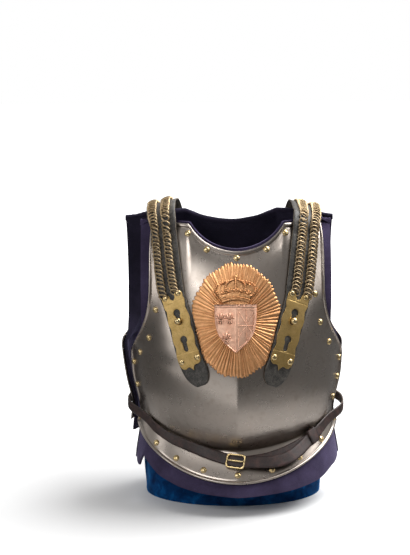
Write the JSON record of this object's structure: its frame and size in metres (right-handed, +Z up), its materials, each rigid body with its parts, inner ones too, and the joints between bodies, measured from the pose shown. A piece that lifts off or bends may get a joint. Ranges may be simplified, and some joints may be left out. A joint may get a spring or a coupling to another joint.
{
  "type": "cuirass on a display stand",
  "caption": "Domed steel breastplate and backplate with shoulder straps, a coat-of-arms plaque and a waist belt, on a low oval block covered with velvet.",
  "frame": {"origin": "bottom centre of the bounding box, on the floor under the display block", "axes": "+Z up, -Y the way the breastplate faces, +X towards the wearer's left side"},
  "size_m": [0.3838, 0.3046, 0.5154],
  "materials": {
    "steel": "polished",
    "brass": "worn polish",
    "copper": "gilt copper, cast relief",
    "rose_copper": "pale copper, cast relief",
    "lining": "quilted cloth",
    "black_leather": "pebbled",
    "brown_leather": "smooth, worn",
    "velvet": "velvet"
  },
  "bodies": {
    "root": {"breastplate": "steel", "backplate": "steel", "breast_lining": "lining", "back_lining": "lining", "rivet_neck_1": "brass", "rivet_neck_2": "brass", "rivet_neck_3": "brass", "rivet_neck_4": "brass", "rivet_neck_5": "brass", "rivet_arm_right_1": "brass", "rivet_arm_right_2": "brass", "rivet_arm_right_3": "brass", "rivet_arm_left_1": "brass", "rivet_arm_left_2": "brass", "rivet_arm_left_3": "brass", "rivet_side_right_1": "brass", "rivet_side_right_2": "brass", "rivet_side_right_3": "brass", "rivet_side_left_1": "brass", "rivet_side_left_2": "brass", "rivet_side_left_3": "brass", "rivet_side_left_4": "brass", "rivet_flange_1": "brass", "rivet_flange_2": "brass", "rivet_flange_3": "brass", "rivet_flange_4": "brass", "rivet_flange_5": "brass", "rivet_flange_6": "brass", "rivet_flange_7": "brass", "sunburst": "copper", "shield": "rose_copper", "crown": "copper", "strap_leather_right": "black_leather", "strap_plate_right": "brass", "strap_stud_right": "brass", "strap_rivet_right_1": "brass", "strap_rivet_right_2": "brass", "strap_rivet_right_3": "brass", "strap_rivet_right_4": "brass", "back_clasp_right": "brass", "chain_right_outer": "brass", "chain_right_inner": "brass", "strap_leather_left": "black_leather", "strap_plate_left": "brass", "strap_stud_left": "brass", "strap_rivet_left_1": "brass", "strap_rivet_left_2": "brass", "strap_rivet_left_3": "brass", "strap_rivet_left_4": "brass", "back_clasp_left": "brass", "chain_left_outer": "brass", "chain_left_inner": "brass", "belt_right": "brown_leather", "belt_left": "brown_leather", "buckle_frame": "brass", "buckle_prong": "brass", "belt_keeper": "brown_leather", "stand": "velvet"}
  },
  "joints": []
}
